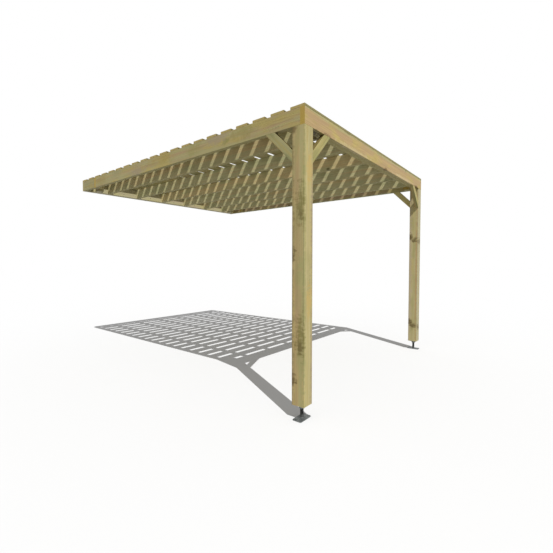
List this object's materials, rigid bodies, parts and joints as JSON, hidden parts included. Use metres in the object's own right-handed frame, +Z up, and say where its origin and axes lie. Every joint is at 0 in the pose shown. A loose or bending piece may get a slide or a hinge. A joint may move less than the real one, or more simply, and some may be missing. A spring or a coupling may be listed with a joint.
{
  "type": "wall-mounted timber pergola",
  "caption": "Lean-to timber pergola with notched posts on adjustable steel feet, knee braces, rafters between a doubled front beam and a wall ledger, and open slats on top.",
  "frame": {"origin": "middle of the wall plate's back face, on the plane of the wall", "axes": "+Y into the wall, +X to the right along the wall plate as seen from the front, +Z up"},
  "size_m": [3.1175, 4.0175, 2.52],
  "materials": {
    "post_timber": "planed pressure-treated softwood with knots and upright grain, matt",
    "beam_timber": "planed pressure-treated softwood with long grain, matt",
    "brace_timber": "planed pressure-treated softwood, matt",
    "wall_plate_timber": "planed pressure-treated softwood, matt",
    "rafter_timber": "planed pressure-treated softwood, matt",
    "slat_timber": "planed pressure-treated softwood boards, matt",
    "foot_plate_steel": "galvanised steel plate, dull grey",
    "rod_steel": "galvanised threaded steel, dull grey"
  },
  "bodies": {
    "root": {"post_left": "post_timber", "post_right": "post_timber", "foot_base_left": "foot_plate_steel", "foot_base_right": "foot_plate_steel", "foot_rod_left": "rod_steel", "foot_rod_right": "rod_steel", "foot_head_left": "foot_plate_steel", "foot_head_right": "foot_plate_steel", "front_beam": "beam_timber", "front_ledger": "beam_timber", "side_beam_left": "beam_timber", "side_beam_right": "beam_timber", "corner_block_left": "beam_timber", "corner_block_right": "beam_timber", "splice_block_left": "beam_timber", "splice_block_right": "beam_timber", "side_beam_end_left": "beam_timber", "side_beam_end_right": "beam_timber", "wall_plate": "wall_plate_timber", "ledger": "wall_plate_timber", "packing_block_left": "wall_plate_timber", "packing_block_right": "wall_plate_timber", "front_brace_left": "brace_timber", "front_brace_right": "brace_timber", "side_brace_left": "brace_timber", "side_brace_right": "brace_timber", "rafter_1": "rafter_timber", "rafter_2": "rafter_timber", "rafter_3": "rafter_timber", "rafter_4": "rafter_timber", "rafter_5": "rafter_timber", "rafter_6": "rafter_timber", "slat_01": "slat_timber", "slat_02": "slat_timber", "slat_03": "slat_timber", "slat_04": "slat_timber", "slat_05": "slat_timber", "slat_06": "slat_timber", "slat_07": "slat_timber", "slat_08": "slat_timber", "slat_09": "slat_timber", "slat_10": "slat_timber", "slat_11": "slat_timber", "slat_12": "slat_timber", "slat_13": "slat_timber", "slat_14": "slat_timber", "slat_15": "slat_timber", "slat_16": "slat_timber", "slat_17": "slat_timber", "slat_18": "slat_timber", "slat_19": "slat_timber", "slat_20": "slat_timber"}
  },
  "joints": []
}
